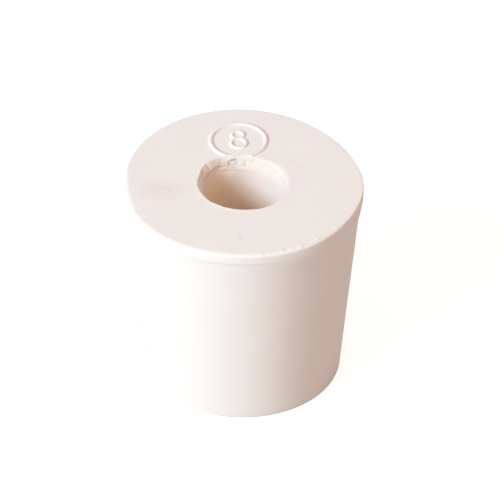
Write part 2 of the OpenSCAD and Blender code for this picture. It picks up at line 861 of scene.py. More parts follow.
@dataclass(frozen=True)
class Bite:
    """A small scoop torn out of the mouth's wall, or a lump left on it.

    Attributes:
        turn: Its place round the mouth.
        below: Its middle's depth under the wide face.
        width: Half its width along the edge.
        height: Half its height.
        depth: How far it reaches outwards; a lump's is below zero.
    """

    turn: float
    below: float
    width: float
    height: float
    depth: float

    def at(self, turn: float, below: float, mouth_r: float) -> float:
        """How far it moves the wall outwards at a place on it.

        Args:
            turn: The place's turn.
            below: The place's depth under the wide face.
            mouth_r: Radius of the mouth.

        Returns:
            The move, below zero for a lump.
        """
        across = math.radians(turn_between(turn, self.turn)) * mouth_r / self.width
        down = (below - self.below) / self.height
        return self.depth * soft_bump(math.hypot(across, down))


@dataclass(frozen=True)
class Crease:
    """A fine crease pressed into the mouth's wall.

    Attributes:
        path: The turn and the depth under the wide face of each of its corners.
        reach: Half its width.
        depth: How deep it is.
        span: Turn from its first corner past which nothing of it is left.
    """

    path: tuple[tuple[float, float], ...]
    reach: float
    depth: float
    span: float = 40.0

    def at(self, turn: float, below: float, mouth_r: float) -> float:
        """How far it moves the wall outwards at a place on it.

        Args:
            turn: The place's turn.
            below: The place's depth under the wide face.
            mouth_r: Radius of the mouth.

        Returns:
            The move.
        """
        if abs(turn_between(turn, self.path[0][0])) > self.span:
            return 0.0
        place = Vector((math.radians(turn_between(turn, 0.0)) * mouth_r, below))
        away = self.reach
        for (turn_a, below_a), (turn_b, below_b) in zip(self.path, self.path[1:]):
            start = Vector((math.radians(turn_a) * mouth_r, below_a))
            along = Vector((math.radians(turn_b) * mouth_r, below_b)) - start
            share = min(1.0, max(0.0, (place - start).dot(along) / along.length_squared))
            away = min(away, (place - start - along * share).length)
        return self.depth * soft_bump(away / self.reach)


@dataclass
class TornBore:
    """The straight bore and its flared, torn mouth, modelled as the solid that is cut away.

    Attributes:
        sizes: The stopper's sizes.
        around: How many faces run round the bore.
        mouth_tilt: How much deeper than its mean the mouth reaches on the +X side.
        overshoot: How far the cut runs past both faces.
        over_lean: How much the cut widens with each metre above the wide face.
        mouth_packing: How closely the mouth's rows of faces are packed towards the wide face.
        bore_packing: How closely the straight bore's rows are packed towards the mouth.
        lip: Radius of the rounded edge between the mouth and the wide face.
        tear: How far the mouth is torn back at the wide face.
        flare: How much further out than its mean the mouth reaches.
        terraces: Where each inward step of the tear begins and ends, under the wide face, and the
            share of the tear that is left below it.
        terrace_rate: How quickly the terraces' depths vary round the axis.
        terrace_swing: How far those depths vary either way, as a share.
        terrace_shift: How far apart in that pattern one terrace is from the next.
        torn_h: Depth at which the last of the tear has run out.
        undercut: How far the bore opens again just under the mouth.
        undercut_run: How far under the mouth that opening begins to close, and has closed.
        plain_ragged: Depth of the raggedness where the mouth is whole.
        plain_waves: The raggedness where the mouth is whole.
        torn_ragged: Depth of the raggedness where it is torn.
        torn_waves: The raggedness where it is torn.
        torn_full: Tear at which that raggedness is full.
        bore_wander: How far the straight bore wanders from true.
        bore_waves: How it wanders.
        bites: The separate scoops and lumps.
        crease: The crease pressed into the back of the mouth.
    """

    sizes: StopperSizes
    around: int = 448
    mouth_tilt: float = 0.47 * MM
    overshoot: float = 1.0 * MM
    over_lean: float = 0.6
    mouth_packing: float = 1.4
    bore_packing: float = 2.0
    lip: RoundSize = RoundSize(0.12 * MM, (
        Swell(22.0, 62.0, 0.34 * MM),
        Swell(132.0, 34.0, 0.22 * MM),
    ))
    tear: RoundSize = RoundSize(0.0, (
        Swell(137.0, 38.0, 0.60 * MM),
        Swell(174.0, 26.0, 0.20 * MM),
        Swell(119.0, 16.0, 0.12 * MM),
    ))
    flare: RoundSize = RoundSize(0.0, (
        Swell(-108.0, 62.0, -0.27 * MM),
        Swell(145.0, 45.0, -0.20 * MM),
    ))
    terraces: tuple[tuple[float, float, float], ...] = (
        (0.04 * MM, 0.66 * MM, 0.50),
        (0.95 * MM, 1.25 * MM, 0.36),
    )
    terrace_rate: float = 7.0
    terrace_swing: float = 0.25
    terrace_shift: float = 5.0
    torn_h: float = 4.0 * MM
    undercut: RoundSize = RoundSize(0.02 * MM, (
        Swell(105.0, 60.0, 0.05 * MM),
    ))
    undercut_run: tuple[float, float] = mm(0.1, 0.6)
    plain_ragged: float = 0.06 * MM
    plain_waves: Waves = Waves(0.95 * MM, sets=3, fade=0.6, finer=2.2)
    torn_ragged: float = 0.05 * MM
    torn_waves: Waves = Waves(0.50 * MM, (5.0, 1.0, 8.0), sets=3, fade=0.8, finer=2.1)
    torn_full: float = 0.3 * MM
    bore_wander: float = 0.02 * MM
    bore_waves: Waves = Waves(2.5 * MM)
    bites: tuple[Bite, ...] = (
        Bite(171.0, *mm(0.10, 0.36, 0.40, 0.05)),
        Bite(151.5, *mm(0.20, 0.34, 0.30, 0.10)),
        Bite(138.5, *mm(0.18, 0.36, 0.28, 0.09)),
        Bite(125.5, *mm(0.20, 0.36, 0.28, 0.09)),
        Bite(116.0, *mm(0.10, 0.36, 0.36, 0.05)),
        Bite(121.0, *mm(0.82, 0.75, 0.17, 0.12)),
        Bite(141.0, *mm(0.80, 0.90, 0.17, 0.09)),
        Bite(93.0, *mm(0.90, 0.14, 0.12, 0.05)),
        Bite(86.5, *mm(0.50, 0.16, 0.13, 0.06)),
        Bite(86.0, *mm(0.80, 0.16, 0.12, 0.05)),
        Bite(37.0, *mm(0.35, 0.36, 0.34, -0.10)),
        Bite(28.0, *mm(0.30, 0.26, 0.30, 0.06)),
        Bite(21.0, *mm(0.30, 0.32, 0.30, -0.08)),
        Bite(17.0, *mm(0.78, 0.26, 0.20, 0.12)),
        Bite(11.0, *mm(0.28, 0.27, 0.30, 0.06)),
        Bite(1.0, *mm(0.30, 0.36, 0.30, -0.08)),
        Bite(-10.0, *mm(0.30, 0.26, 0.26, 0.05)),
        Bite(-26.0, *mm(0.20, 0.40, 0.30, 0.05)),
        Bite(-48.0, *mm(0.10, 0.40, 0.30, 0.08)),
        Bite(-68.0, *mm(0.10, 0.34, 0.30, 0.07)),
        Bite(-80.0, *mm(0.10, 0.26, 0.26, -0.06)),
        Bite(-93.0, *mm(0.10, 0.40, 0.30, 0.06)),
        Bite(-106.0, *mm(0.10, 0.26, 0.26, -0.07)),
        Bite(-118.0, *mm(0.10, 0.45, 0.30, 0.07)),
        Bite(-139.0, *mm(0.10, 0.42, 0.30, 0.06)),
    )
    crease: Crease = Crease(
        path=((109.5, 0.82 * MM), (109.0, 0.50 * MM), (105.5, 0.33 * MM), (99.5, 0.25 * MM)),
        reach=0.22 * MM, depth=0.08 * MM)

    def build(self) -> bpy.types.Object:
        """Model the bore's cut.

        Returns:
            The cut as a closed mesh object.
        """
        sizes = self.sizes
        low, high = -self.overshoot, sizes.bore_top
        bore = add_cylinder("bore_cut", self.around, sizes.bore_r, low, high)
        with editing(bore, Pick.FACES):
            select_faces(bore, lambda centre, normal: normal.z > 0.9)
            extrude_up(sizes.face_z - high)
            widen(sizes.mouth_r / sizes.bore_r, sizes.face_z)
            extrude_up(self.overshoot)
            bpy.ops.mesh.select_mode(type=Pick.EDGES.value)
            for bottom, top, cuts in ((low, high, 26), (high, sizes.face_z, 38),
                                      (sizes.face_z, sizes.face_z + self.overshoot, 6)):
                select_edges(bore, lambda a, b: near(min(a.z, b.z), bottom)
                             and near(max(a.z, b.z), top))
                bpy.ops.mesh.subdivide(number_cuts=cuts)
        for point in bore.data.vertices:
            point.co = self._torn(point.co)
        return bore

    def mouth_h(self, turn: float) -> float:
        """Depth of the mouth at a turn."""
        even_h = self.sizes.face_z - self.sizes.bore_top
        return even_h + self.mouth_tilt * math.cos(math.radians(turn))

    def _below(self, place: Vector) -> float:
        """Pack the bore's rows of faces towards the mouth and the wide face.

        Args:
            place: A point on the true bore's side.

        Returns:
            The depth under the wide face that it moves to.
        """
        sizes = self.sizes
        mouth_h = self.mouth_h(turn_of(place))
        if place.z > sizes.face_z:
            return sizes.face_z - place.z
        if place.z > sizes.bore_top - HAIR:
            share = (sizes.face_z - place.z) / (sizes.face_z - sizes.bore_top)
            return mouth_h * share ** self.mouth_packing
        share = (sizes.bore_top - place.z) / (sizes.bore_top + self.overshoot)
        return mouth_h + (sizes.face_z + self.overshoot - mouth_h) * share ** self.bore_packing

    def _torn(self, place: Vector) -> Vector:
        """Move a point of the true bore to the torn one.

        Args:
            place: A point on the true bore's side.

        Returns:
            Its place on the real one.
        """
        turn, below = turn_of(place), self._below(place)
        mouth_h = self.mouth_h(turn)
        wall_r = self._wall_r(turn, max(0.0, below), mouth_h)
        if below < 0.0:
            wall_r -= self.over_lean * below
        moved = outward_at(place) * wall_r
        moved.z = self.sizes.face_z - below
        zone = 1.0 - smooth_step(below, 0.5 * mouth_h, mouth_h)
        torn = min(1.0, self.tear.at(turn) / self.torn_full) * self.torn_ragged
        plain = self.plain_ragged * self.plain_waves.at(moved)
        ragged = (plain + torn * self.torn_waves.at(moved)) * zone
        ragged += self.bore_wander * self.bore_waves.at(moved) * (1.0 - zone)
        return moved + outward_at(place) * ragged

    def _wall_r(self, turn: float, below: float, mouth_h: float) -> float:
        """Radius of the wall before its raggedness.

        Args:
            turn: Turn of the place about the axis.
            below: Its depth under the wide face.
            mouth_h: Depth of the mouth at that turn.

        Returns:
            The radius.
        """
        sizes = self.sizes
        reach_out = sizes.mouth_r + self.flare.at(turn) - sizes.bore_r
        wall_r = sizes.bore_r + reach_out * max(0.0, 1.0 - below / mouth_h)
        lip = self.lip.at(turn)
        if below < lip:
            wall_r += lip - math.sqrt(lip ** 2 - (lip - below) ** 2)
        wall_r += self.tear.at(turn) * self._terrace(turn, below)
        if below > mouth_h + HAIR:
            closed = smooth_step(below - mouth_h, *self.undercut_run)
            wall_r += self.undercut.at(turn) * (1.0 - closed)
        wall_r += sum(bite.at(turn, below, sizes.mouth_r) for bite in self.bites)
        return wall_r + self.crease.at(turn, below, sizes.mouth_r)

    def _terrace(self, turn: float, below: float) -> float:
        """Share of the tear that is left at a depth, stepping in at each uneven terrace.

        Args:
            turn: Turn of the place about the axis.
            below: Its depth under the wide face.

        Returns:
            The share, from 1 at the wide face to 0.
        """
        direction = Vector((math.cos(math.radians(turn)), math.sin(math.radians(turn)), 0.0))
        around = direction * self.terrace_rate
        share = 1.0
        for order, (start, end, left) in enumerate(self.terraces):
            shift = Vector((0.0, 0.0, self.terrace_shift * order))
            uneven = 1.0 + self.terrace_swing * noise.noise(around + shift)
            share += (left - share) * smooth_step(below, start * uneven, end * uneven)
        return share * (1.0 - smooth_step(below, self.terraces[-1][1], self.torn_h))


# ---------------------------------------------------------------- finishes

@dataclass(frozen=True)
class StainOrLightPatch:
    """A soft patch of another colour on the rubber: a real stain or fleck, or painted light or
    shade.

    Attributes:
        name: What it is.
        place: Its middle.
        reach: Its half-widths along X, Y and Z.
        colour: Its colour.
        strength: How much of its colour shows at its middle.
    """

    name: str
    place: Triple
    reach: Triple
    colour: Colour
    strength: float


@dataclass(frozen=True)
class DeepPaintedLight:
    """Painted light down the bore: a lighter colour standing in for light that reaches deep into
    it.

    Attributes:
        colour: The colour.
        upper: Height at which it begins to show.
        lower: Height at which nothing else shows.
    """

    colour: Colour
    upper: float
    lower: float


class Groups:
    """Node groups for the effects that the rubber's finishes share, each built once."""

    def __init__(self) -> None:
        """Build the groups."""
        self.clouding = self._clouding()
        self.grain = self._grain()
        self.specks = self._specks()
        self.patch = self._patch()
        self.depth = self._depth()

    @staticmethod
    def _new(name: str, output: str, numbers: tuple[str, ...],
             vectors: tuple[str, ...] = ()) -> bpy.types.NodeTree:
        """Start a node group.

        Args:
            name: The group's name.
            output: The name of its one output.
            numbers: The names of its number inputs.
            vectors: The names of its vector inputs, after the Vector that every group has.

        Returns:
            The group, with its input and output nodes named ins and outs.
        """
        group = bpy.data.node_groups.new(name, "ShaderNodeTree")
        sockets = [(label, "INPUT", "NodeSocketVector") for label in ("Vector", *vectors)]
        sockets += [(label, "INPUT", "NodeSocketFloat") for label in numbers]
        for label, side, kind in (*sockets, (output, "OUTPUT", "NodeSocketFloat")):
            group.interface.new_socket(name=label, in_out=side, socket_type=kind)
        group.nodes.new("NodeGroupInput").name = "ins"
        group.nodes.new("NodeGroupOutput").name = "outs"
        return group

    @staticmethod
    def _put_out(group: bpy.types.NodeTree, result: bpy.types.NodeSocket) -> bpy.types.NodeTree:
        """Link a group's one output, and hand the group back."""
        group.links.new(result, group.nodes["outs"].inputs[0])
        return group

    @staticmethod
    def _noise(group: bpy.types.NodeTree, scale: str | float,
               detail: float) -> bpy.types.NodeSocket:
        """Add a noise texture on the group's Vector.

        Args:
            group: The group that it goes in.
            scale: Its scale, or the name of the group's input that sets it.
            detail: How many finer sets of noise lie over the first.

        Returns:
            Its output, from 0 to 1.
        """
        node = group.nodes.new("ShaderNodeTexNoise")
        node.inputs["Detail"].default_value = detail
        group.links.new(group.nodes["ins"].outputs["Vector"], node.inputs["Vector"])
        if isinstance(scale, str):
            group.links.new(group.nodes["ins"].outputs[scale], node.inputs["Scale"])
        else:
            node.inputs["Scale"].default_value = scale
        return node.outputs["Fac"]

    @staticmethod
    def _math(group: bpy.types.NodeTree, operation: str, *values: bpy.types.NodeSocket | float,
              clamp: bool = False) -> bpy.types.NodeSocket:
        """Add a Math node.

        Args:
            group: The group that it goes in.
            operation: What it does.
            values: A link or a number for each of its inputs.
            clamp: Whether its result stays between 0 and 1.

        Returns:
            Its output.
        """
        node = group.nodes.new("ShaderNodeMath")
        node.operation = operation
        node.use_clamp = clamp
        for socket, value in zip(node.inputs, values):
            if isinstance(value, bpy.types.NodeSocket):
                group.links.new(value, socket)
            else:
                socket.default_value = value
        return node.outputs[0]

    @staticmethod
    def _vector_math(group: bpy.types.NodeTree, operation: str,
                     *values: bpy.types.NodeSocket) -> bpy.types.Node:
        """Add a Vector Math node.

        Args:
            group: The group that it goes in.
            operation: What it does.
            values: A link for each of its inputs.

        Returns:
            The node.
        """
        node = group.nodes.new("ShaderNodeVectorMath")
        node.operation = operation
        for socket, value in zip(node.inputs, values):
            group.links.new(value, socket)
        return node

    def _clouding(self) -> bpy.types.NodeTree:
        """Soft patches of bloom on the rubber: a mask from 0 to 1.

        Returns:
            The group.
        """
        group = self._new("bloom_clouding", "Mask", ("Scale", "Contrast"))
        contrast = group.nodes["ins"].outputs["Contrast"]
        centred = self._math(group, "SUBTRACT", self._noise(group, "Scale", detail=5.0), 0.5)
        mask = self._math(group, "MULTIPLY_ADD", centred, contrast, 0.5, clamp=True)
        return self._put_out(group, mask)

    def _grain(self) -> bpy.types.NodeTree:
        """The fine grain that the mould leaves on the rubber: a height from 0 to about 1.

        Returns:
            The group.
        """
        group = self._new("mould_grain", "Height", ("Coarse", "Fine"))
        coarse_share, fine_share = 0.65, 0.5
        coarse = self._noise(group, "Coarse", detail=3.0)
        fine = self._math(group, "MULTIPLY", self._noise(group, "Fine", detail=2.0), fine_share)
        return self._put_out(group, self._math(group, "MULTIPLY_ADD", coarse, coarse_share, fine))

    def _specks(self) -> bpy.types.NodeTree:
        """Sparse, soft dust specks pressed into the rubber: a mask from 0 to 1.

        Returns:
            The group.
        """
        group = self._new("dust_specks", "Mask", ("Scale", "Size", "Share"))
        ins = group.nodes["ins"].outputs
        cells = group.nodes.new("ShaderNodeTexVoronoi")
        group.links.new(ins["Vector"], cells.inputs["Vector"])
        group.links.new(ins["Scale"], cells.inputs["Scale"])
        away = self._math(group, "DIVIDE", cells.outputs["Distance"], ins["Size"])
        spot = self._math(group, "SUBTRACT", 1.0, away, clamp=True)
        tint = group.nodes.new("ShaderNodeSeparateColor")
        group.links.new(cells.outputs["Color"], tint.inputs["Color"])
        kept = self._math(group, "LESS_THAN", tint.outputs["Red"], ins["Share"])
        return self._put_out(group, self._math(group, "MULTIPLY", spot, kept))

    def _patch(self) -> bpy.types.NodeTree:
        """One soft patch whose edge a noise makes cloudy: a mask from 0 to 1.

        Returns:
            The group.
        """
        group = self._new("soft_patch", "Mask", ("Strength",), ("Middle", "Reach"))
        ins = group.nodes["ins"].outputs
        offset = self._vector_math(group, "SUBTRACT", ins["Vector"], ins["Middle"])
        scaled = self._vector_math(group, "DIVIDE", offset.outputs[0], ins["Reach"])
        length = self._vector_math(group, "LENGTH", scaled.outputs[0]).outputs["Value"]
        cloud_scale, cloudiness, edge = 900.0, 0.9, 1.55
        cloud = self._noise(group, cloud_scale, detail=4.0)
        ragged = self._math(group, "MULTIPLY_ADD", cloud, cloudiness, length)
        inside = self._math(group, "SUBTRACT", edge, ragged, clamp=True)
        mask = self._math(group, "MULTIPLY", inside, ins["Strength"], clamp=True)
        return self._put_out(group, mask)

    def _depth(self) -> bpy.types.NodeTree:
        """How far down the bore a point is: 0 at the upper height, 1 at the lower one.

        Returns:
            The group.
        """
        group = self._new("depth_in_bore", "Mask", ("Upper", "Lower"))
        ins = group.nodes["ins"].outputs
        parts = group.nodes.new("ShaderNodeSeparateXYZ")
        group.links.new(ins["Vector"], parts.inputs[0])
        ramp = group.nodes.new("ShaderNodeMapRange")
        group.links.new(parts.outputs["Z"], ramp.inputs["Value"])
        group.links.new(ins["Upper"], ramp.inputs["From Min"])
        group.links.new(ins["Lower"], ramp.inputs["From Max"])
        return self._put_out(group, ramp.outputs["Result"])


@dataclass(frozen=True)
class RubberFinish:
    """A finish of white rubber.

    Attributes:
        name: The material's name.
        body: The rubber's own colour.
        bloom: The colour of its chalky patches.
        dust: The colour of its specks.
        roughness: How matt it is.
        grain_height: Height of its grain.
        grain_coarse: Grain lumps to the metre.
        grain_finer: How many times finer its finest lumps are.
        grain_strength: How strongly the grain shows in the light.
        stretch: How much longer its patches are along the bore than across it.
        gloss: How strongly it mirrors, as the shader's specular level.
        sheen_swing: How far its roughness varies either way with the bloom.
        cloud_scale: Patches of bloom to the metre, about.
        cloud_contrast: How sharply they are set apart.
        speck_scale: Places for a speck to the metre.
        speck_size: Radius of a speck, as a share of the way from one place to the next.
        speck_share: Share of the places that have a speck.
        soft_share: Share of the light that goes in under its skin.
        soft_colours: How far each colour's light goes there, as a share of soft_reach.
        soft_reach: How far the light goes under its skin.
        deep: Painted light down the bore, a lighter colour, or None where the colour stays as it
            is.
        stains_and_light: Its separate patches: real stains and flecks, and painted light and shade.
    """

    name: str
    body: Colour
    bloom: Colour
    dust: Colour
    roughness: float
    grain_height: float
    grain_coarse: float
    grain_finer: float = 4.0
    grain_strength: float = 0.6
    stretch: float = 1.0
    gloss: float = 0.2
    sheen_swing: float = 0.06
    cloud_scale: float = 260.0
    cloud_contrast: float = 2.0
    speck_scale: float = 420.0
    speck_size: float = 0.16
    speck_share: float = 0.05
    soft_share: float = 0.12
    soft_colours: Triple = (1.0, 0.55, 0.35)
    soft_reach: float = 0.8 * MM
    deep: DeepPaintedLight | None = None
    stains_and_light: tuple[StainOrLightPatch, ...] = ()

    def make(self, groups: Groups) -> bpy.types.Material:
        """Build the material.

        Args:
            groups: The shared effects.

        Returns:
            The material.
        """
        material = bpy.data.materials.new(self.name)
        material.use_nodes = True
        tree = material.node_tree
        shader = tree.nodes["Principled BSDF"]
        shader.inputs["Specular IOR Level"].default_value = self.gloss
        shader.inputs["Subsurface Weight"].default_value = self.soft_share
        shader.inputs["Subsurface Radius"].default_value = self.soft_colours
        shader.inputs["Subsurface Scale"].default_value = self.soft_reach
        where = tree.nodes.new("ShaderNodeTexCoord").outputs["Object"]
        mapping = tree.nodes.new("ShaderNodeMapping")
        mapping.inputs["Scale"].default_value = (1.0, 1.0, 1.0 / self.stretch)
        tree.links.new(where, mapping.inputs["Vector"])
        drawn = mapping.outputs["Vector"]

        cloud = self._effect(tree, groups.clouding, drawn, Scale=self.cloud_scale,
                             Contrast=self.cloud_contrast)
        tone = self._mix(tree, cloud, self.body, self.bloom)
        # painted light: a lighter colour deep in the bore
        if self.deep:
            depth = self._effect(tree, groups.depth, where, Upper=self.deep.upper,
                                 Lower=self.deep.lower)
            tone = self._mix(tree, depth, tone, self.deep.colour)
        for stain_or_light in self.stains_and_light:
            patch = self._effect(tree, groups.patch, where, Middle=stain_or_light.place, Reach=stain_or_light.reach,
                                 Strength=stain_or_light.strength)
            patch.node.label = stain_or_light.name
            tone = self._mix(tree, patch, tone, stain_or_light.colour)
        specks = self._effect(tree, groups.specks, where, Scale=self.speck_scale,
                              Size=self.speck_size, Share=self.speck_share)
        tone = self._mix(tree, specks, tone, self.dust)
        tree.links.new(tone, shader.inputs["Base Color"])

        sheen = tree.nodes.new("ShaderNodeMapRange")
        sheen.inputs["To Min"].default_value = self.roughness - self.sheen_swing
        sheen.inputs["To Max"].default_value = self.roughness + self.sheen_swing
        tree.links.new(cloud, sheen.inputs["Value"])
        tree.links.new(sheen.outputs["Result"], shader.inputs["Roughness"])

        grain = self._effect(tree, groups.grain, drawn, Coarse=self.grain_coarse,
                             Fine=self.grain_coarse * self.grain_finer)
        bump = tree.nodes.new("ShaderNodeBump")
        bump.inputs["Strength"].default_value = self.grain_strength
        bump.inputs["Distance"].default_value = self.grain_height
        tree.links.new(grain, bump.inputs["Height"])
        tree.links.new(bump.outputs["Normal"], shader.inputs["Normal"])
        return material

    @staticmethod
    def _effect(tree: bpy.types.NodeTree, group: bpy.types.NodeTree, where: bpy.types.NodeSocket,
                **values: float | Colour) -> bpy.types.NodeSocket:
        """Place a shared effect in the material with its own values.

        Args:
            tree: The material's nodes.
            group: The shared effect.
            where: The coordinates that it reads.
            values: Its inputs' values by name.

        Returns:
            Its output.
        """
        node = tree.nodes.new("ShaderNodeGroup")
        node.node_tree = group
        tree.links.new(where, node.inputs["Vector"])
        for label, value in values.items():
            node.inputs[label].default_value = value
        return node.outputs[0]

    @staticmethod
    def _mix(tree: bpy.types.NodeTree, mask: bpy.types.NodeSocket,
             under: Colour | bpy.types.NodeSocket, over: Colour) -> bpy.types.NodeSocket:
        """Lay one colour over another by a mask.

        Args:
            tree: The material's nodes.
            mask: How much of the upper colour shows.
            under: The lower colour, set or linked.
            over: The upper colour.

        Returns:
            The mixed colour.
        """
        node = tree.nodes.new("ShaderNodeMix")
        node.data_type = "RGBA"  # a colour mix has its colours on sockets 6, 7 and, put out, 2
        factor, lower, upper = node.inputs[0], node.inputs[6], node.inputs[7]
        tree.links.new(mask, factor)
        if isinstance(under, bpy.types.NodeSocket):
            tree.links.new(under, lower)
        else:
            lower.default_value = (*under, 1.0)
        upper.default_value = (*over, 1.0)
        return node.outputs[2]


MOULDED_SKIN = RubberFinish(
    name="moulded_white_rubber",
    body=(0.835, 0.765, 0.725),
    bloom=(0.86, 0.79, 0.75),
    dust=(0.78, 0.67, 0.61),
    roughness=0.66,
    grain_height=0.012 * MM,
    grain_coarse=1400.0,
    gloss=0.32,
    stains_and_light=(
        StainOrLightPatch("handled smudge", mm(-9.2, -1.3, 25.0), mm(3.4, 2.4, 2.0),
              (0.78, 0.68, 0.60), 0.6),
        StainOrLightPatch("pink fleck on the rim", mm(-6.2, -11.1, 25.0), mm(0.45, 0.35, 0.6),
              (0.78, 0.64, 0.60), 0.4),
        StainOrLightPatch("grey fleck on the face", mm(-0.2, -9.9, 25.0), mm(0.5, 0.5, 0.6),
              (0.74, 0.64, 0.59), 0.4),
        StainOrLightPatch("pink fleck on the side", mm(4.13, -11.0, 7.2), mm(0.4, 0.6, 0.35),
              (0.78, 0.62, 0.57), 0.5),
    ),
)

TORN_RUBBER = RubberFinish(
    name="torn_white_rubber",
    body=(0.77, 0.675, 0.615),
    bloom=(0.79, 0.70, 0.645),
    dust=(0.72, 0.60, 0.53),
    roughness=0.7,
    grain_height=0.025 * MM,
    grain_coarse=1800.0,
    stains_and_light=(
        # painted light: a paler patch where the lamp falls on the back of the mouth
        StainOrLightPatch("painted light at the back of the mouth", mm(0.2, 4.9, 24.3), mm(2.2, 1.3, 1.3),
              (0.86, 0.77, 0.71), 0.8),
        StainOrLightPatch("pale left edge", mm(-4.9, 0.6, 24.6), mm(1.6, 2.6, 1.3),
              (0.88, 0.75, 0.64), 0.9),
        # painted shade: a warmer, darker colour on the shaded left and back left of the mouth
        StainOrLightPatch("painted warm shade left of the mouth", mm(-4.2, 2.6, 23.8), mm(1.7, 2.4, 1.8),
              (0.82, 0.58, 0.43), 0.8),
        StainOrLightPatch("painted shade back left of the mouth", mm(-2.6, 4.1, 23.9), mm(1.8, 1.6, 1.3),
              (0.70, 0.52, 0.41), 0.9),
        # painted light: a whiter copy of the colour where the lamp lights the right of the mouth
        StainOrLightPatch("painted light on the lit right of the mouth", mm(4.2, 1.8, 24.4), mm(2.0, 3.4, 1.6),
              (0.77, 0.675, 0.645), 0.9),
        # painted shade: darker colour in the notch and the dents, where shade falls
        StainOrLightPatch("painted shade in the notch", mm(4.6, 1.4, 24.2), mm(0.50, 0.28, 0.22),
              (0.60, 0.52, 0.46), 0.8),
        StainOrLightPatch("painted shade in the upper dent", mm(0.3, 4.9, 24.5), mm(0.24, 0.4, 0.18),
              (0.66, 0.55, 0.48), 0.6),
        StainOrLightPatch("painted shade in the lower dents", mm(0.1, 4.75, 24.15), mm(0.44, 0.4, 0.16),
              (0.66, 0.55, 0.48), 0.6),
        # painted shade: darker colour along the pressed crease
        StainOrLightPatch("painted shade at the back of the crease", mm(-1.15, 4.85, 24.72),
              mm(0.55, 0.40, 0.22), (0.56, 0.44, 0.37), 0.9),
        StainOrLightPatch("painted shade at the side of the crease", mm(-1.60, 4.60, 24.4),
              mm(0.28, 0.40, 0.45), (0.56, 0.44, 0.37), 0.9),
    ),
)

BORE_SKIN = RubberFinish(
    name="bore_white_rubber",
    body=(0.855, 0.71, 0.635),
    bloom=(0.875, 0.73, 0.66),
    dust=(0.76, 0.60, 0.51),
    roughness=0.68,
    grain_height=0.02 * MM,
    grain_coarse=1000.0,
    stretch=2.5,
    # painted light: lighter, warmer colour deep in the bore
    deep=DeepPaintedLight((0.98, 0.81, 0.68), *mm(22.4, 19.6)),
    stains_and_light=(
        StainOrLightPatch("tan streak", mm(3.5, 2.75, 22.4), mm(0.20, 0.30, 0.50),
              (0.66, 0.56, 0.49), 0.7),
        # painted light: a paler, less warm copy of the colour where the lamp lights the right wall
        StainOrLightPatch("painted light on the lit right wall", mm(3.2, 3.0, 22.4), mm(3.2, 3.2, 3.2),
              (0.80, 0.705, 0.655), 0.9),
        # painted light: warm orange on the shaded left wall, standing in for light bounced within
        # the bore
        StainOrLightPatch("painted warm light on the shaded left wall", mm(-3.4, 3.2, 21.4), mm(3.3, 3.6, 3.6),
              (0.98, 0.74, 0.51), 0.95),
    ),
)


class Skin(Enum):
    """The finishes that the stopper's surface has, by material slot."""

    MOULDED = 0
    TORN = 1
    BORE = 2


FINISHES = {Skin.MOULDED: MOULDED_SKIN, Skin.TORN: TORN_RUBBER, Skin.BORE: BORE_SKIN}


# ---------------------------------------------------------------- the stopper

@dataclass
class Stopper:
    """The whole stopper: one moulded piece of rubber.

    Attributes:
        sizes: The stopper's sizes.
        smooth_degrees: Edges that turn by less than this are shaded smooth.
        weld: Points closer than this are made one where the solids were joined and cut.
        wall_zone: How far out from the true bore a face can still be a wall of the torn one.
        wall_facing: How squarely a face has to look at the axis to be such a wall.
    """

    sizes: StopperSizes
    smooth_degrees: float = 38.0
    weld: float = 0.001 * MM
    wall_zone: float = 1.4 * MM
    wall_facing: float = 0.2

    @property
    def bore(self) -> TornBore:
        """The torn bore that is cut through the body."""
        return TornBore(self.sizes)

    def build(self) -> bpy.types.Object:
        """Model the stopper from its body, its mark and its bore.

        Returns:
            The finished piece.
        """
        body = MouldedBody(self.sizes).build()
        for wire in RaisedMark(self.sizes).build():
            join_by(body, wire, Join.UNION)
        join_by(body, self.bore.build(), Join.DIFFERENCE)
        with editing(body, Pick.FACES):
            bpy.ops.mesh.select_all(action="SELECT")
            bpy.ops.mesh.remove_doubles(threshold=self.weld)
            bpy.ops.mesh.dissolve_degenerate(threshold=self.weld)
        take(body)
        bpy.ops.object.shade_smooth_by_angle(angle=math.radians(self.smooth_degrees))
        return body

    def dress(self, piece: bpy.types.Object) -> None:
        """Give the outside its moulded skin, and the torn mouth and the bore their own.

        Args:
            piece: The finished piece.
        """
        groups = Groups()
        piece.data.materials.clear()
        for skin in Skin:
            piece.data.materials.append(FINISHES[skin].make(groups))
        for face in piece.data.polygons:
            face.material_index = self._skin_at(face.center, face.normal).value

    def _skin_at(self, place: Vector, normal: Vector) -> Skin:
        """Which finish a face has.

        Args:
            place: The face's centre.
            normal: The face's normal.

        Returns:
            The finish.
        """
        sizes = self.sizes
        if radius_of(place) >= sizes.bore_r + self.wall_zone:
            return Skin.MOULDED
        if outward_at(place).dot(normal) >= -self.wall_facing:
            return Skin.MOULDED
        in_mouth = sizes.face_z - place.z < self.bore.mouth_h(turn_of(place))
        return Skin.TORN if in_mouth else Skin.BORE

    def declare(self, piece: bpy.types.Object) -> None:
        """Hide the node that the piece replaces, and hang the piece on the body that it rides on.

        Args:
            piece: The finished piece.
        """
        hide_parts(NODE)
        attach(piece, BODY)


# ---------------------------------------------------------------- the studio

